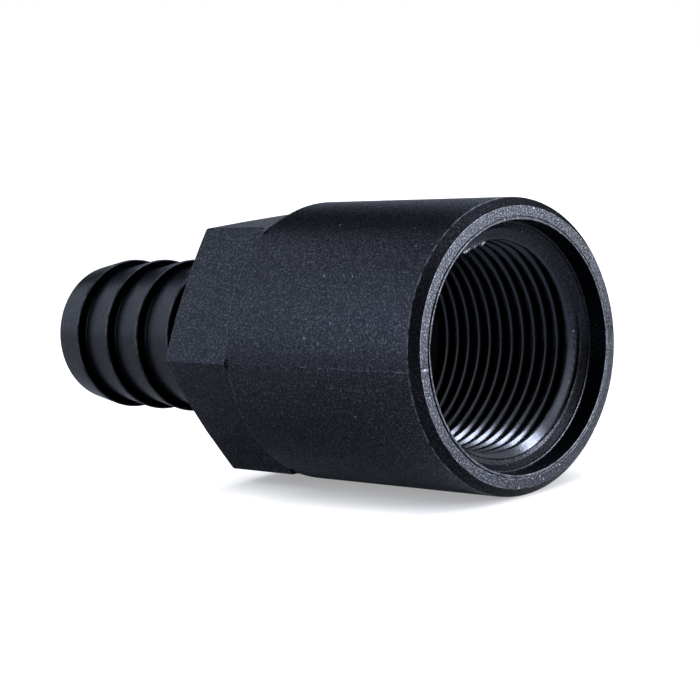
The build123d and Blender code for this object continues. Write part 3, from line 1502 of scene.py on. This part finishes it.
@dataclass
class Studio:
    """The pale floor, the white surroundings and the softboxes."""

    floor_z: float
    floor_radius: float = 3.0
    floor_colour: tuple[float, float, float, float] = (0.5, 0.5, 0.5, 1.0)
    floor_sides: int = 64
    # The glow near the fitting, a little below white, and how far out it rises to white: a painted
    # shade round the fitting
    floor_glow: float = 0.965
    floor_shade_reach: tuple[float, float] = (0.06, 0.3)
    # The painted contact shadow: how far the occlusion looks, its samples, its range and the glow
    # left in it
    contact_shadow_reach: float = 0.007
    contact_shadow_samples: int = 8
    contact_shadow_range: tuple[float, float] = (0.1, 0.95)
    contact_shadow_glow: float = 0.35
    ambient: float = 0.01
    backdrop: float = 1.0
    backdrop_azimuth: float = 120.0
    backdrop_edge: tuple[float, float] = (0.2, 0.8)
    softboxes: tuple[Softbox, ...] = (
        Softbox("key_softbox", 330.0, 25.0, 0.4, 0.78, 4.2, COOL),
        Softbox("left_softbox", 285.0, 25.0, 0.72, 0.74, 0.86, COOL),
        Softbox("back_left_softbox", 210.0, 48.0, 0.4, 0.62, 1.7, COOL),
        Softbox("low_back_softbox", 228.0, 7.0, 0.5, 0.2, 0.4, COOL),
        Softbox("top_softbox", 180.0, 66.0, 0.4, 0.36, 2.2, COOL),
        Softbox("right_softbox", 88.0, 62.0, 0.4, 0.44, 1.3, NEUTRAL),
        Softbox("rim_softbox", 112.0, 7.0, 0.34, 0.2, 62.0, NEUTRAL),
        Softbox("spark_softbox", 119.0, 33.0, 0.14, 0.18, 29.0, NEUTRAL),
    )

    def build(self, target: Vector) -> None:
        """Makes the floor, the world and the lamps.

        Args:
            target: The point that the lamps face.
        """
        self.build_floor()
        self.build_world()
        for softbox in self.softboxes:
            softbox.build(target)

    def build_floor(self) -> None:
        """Makes the floor, which glows white to the camera and still takes the lamps' shadow. Its
        glow is a little weaker near the fitting and weaker still close under it: a painted shade
        and a painted contact shadow.
        """
        mesh = bpy.data.meshes.new("floor")
        shell = bmesh.new()
        sides, radius = self.floor_sides, self.floor_radius
        bmesh.ops.create_circle(shell, cap_ends=True, segments=sides, radius=radius)
        bmesh.ops.translate(shell, verts=shell.verts, vec=(0.0, 0.0, self.floor_z))
        shell.to_mesh(mesh)
        shell.free()
        material = bpy.data.materials.new("pale_floor")
        material.use_nodes = True
        graph = Graph(material.node_tree)
        matte = graph.node("ShaderNodeBsdfDiffuse", {"Color": self.floor_colour})
        seen = graph.add("ShaderNodeLightPath").outputs["Is Camera Ray"]
        spot = graph.add("ShaderNodeTexCoord").outputs["Object"]
        reach = graph.node("ShaderNodeVectorMath", {0: spot}, operation="LENGTH").outputs["Value"]
        near, samples = {"Distance": self.contact_shadow_reach}, self.contact_shadow_samples
        close = graph.node("ShaderNodeAmbientOcclusion", near, samples=samples).outputs["AO"]
        # Painted shade: the glow is a little weaker near the fitting
        wide = graph.ramp(reach, *self.floor_shade_reach, self.floor_glow, 1.0)
        # Painted contact shadow: the glow is weaker still where the fitting is close above the
        # floor
        painted_contact_shadow = graph.ramp(close, *self.contact_shadow_range, self.contact_shadow_glow, 1.0)
        strength = graph.times(seen, graph.times(wide, painted_contact_shadow))
        glow = graph.node("ShaderNodeEmission", {"Color": WHITE, "Strength": strength})
        both = graph.node("ShaderNodeAddShader", {0: matte.outputs[0], 1: glow.outputs[0]})
        graph.node("ShaderNodeOutputMaterial", {"Surface": both.outputs[0]})
        mesh.materials.append(material)
        floor = placed("floor", mesh)

    def build_world(self) -> None:
        """Makes the world: white to the camera, a white side to glossy rays, a faint even light."""
        world = bpy.data.worlds.new("studio")
        bpy.context.scene.world = world
        world.use_nodes = True
        graph = Graph(world.node_tree)
        path = graph.add("ShaderNodeLightPath")
        glossy, passed = path.outputs["Is Glossy Ray"], path.outputs["Is Transmission Ray"]
        mirrored = graph.math("MAXIMUM", glossy, passed)
        way = graph.add("ShaderNodeTexCoord").outputs["Generated"]
        behind = heading(self.backdrop_azimuth, 0.0)
        facing = graph.node("ShaderNodeVectorMath", {0: way, 1: behind}, operation="DOT_PRODUCT")
        side = graph.ramp(facing.outputs["Value"], *self.backdrop_edge, 0.0, self.backdrop)
        wall = graph.times(side, mirrored)
        seen = graph.math("MAXIMUM", path.outputs["Is Camera Ray"], wall)
        strength = graph.math("MAXIMUM", seen, self.ambient)
        background = graph.node("ShaderNodeBackground", {"Color": WHITE, "Strength": strength})
        graph.node("ShaderNodeOutputWorld", {"Surface": background.outputs[0]})


@dataclass(frozen=True)
class PhotoCamera:
    """The camera, at the angle and distance that the photograph was taken from."""

    azimuth: float = 47.782
    elevation: float = 7.695
    roll: float = -6.002
    distance: float = 0.27351
    target: tuple[float, float, float] = (-0.028385, 0.0, -0.001112)
    focal_px: float = 2258.08
    frame_px: float = 700.0
    sensor_mm: float = 36.0
    clip: tuple[float, float] = (0.01, 50.0)

    def build(self) -> bpy.types.Object:
        """Makes the camera and sets it as the scene's own.

        Returns:
            The camera.
        """
        azimuth = math.radians(self.azimuth)
        back = heading(self.azimuth, self.elevation)
        level = Vector((math.cos(azimuth), math.sin(azimuth), 0.0))
        upright = back.cross(level)
        turn = math.radians(self.roll)
        right = math.cos(turn) * level + math.sin(turn) * upright
        up = -math.sin(turn) * level + math.cos(turn) * upright
        data = bpy.data.cameras.new("camera")
        data.sensor_width = self.sensor_mm
        data.lens = self.focal_px / self.frame_px * self.sensor_mm
        data.clip_start, data.clip_end = self.clip
        camera = placed("camera", data)
        place = Matrix((right, up, back)).transposed().to_4x4()
        place.translation = Vector(self.target) + back * self.distance
        camera.matrix_world = place
        bpy.context.scene.camera = camera
        return camera


def main() -> None:
    """Loads the frame, makes the fitting, dresses it and lights it."""
    logging.basicConfig(level=logging.INFO, format="%(name)s: %(message)s")
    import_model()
    PhotoCamera().build()
    groups = {"grain": grain_group(), "fleck": fleck_group(), "rub_and_highlight": rub_and_highlight_group()}
    materials = {zone: finish.build(groups) for zone, finish in FINISHES.items()}
    piece = Fitting().build(materials)
    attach(piece, "root")
    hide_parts(NODE_NAME)
    LOG.info("%s: %d points", piece.name, len(piece.data.vertices))
    lowest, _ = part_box(NODE_NAME)
    Studio(floor_z=lowest.z).build(Vector((-0.03, 0.0, 0.0)))
    bpy.context.scene.view_settings.view_transform = "Standard"


if __name__ == "__main__":
    main()
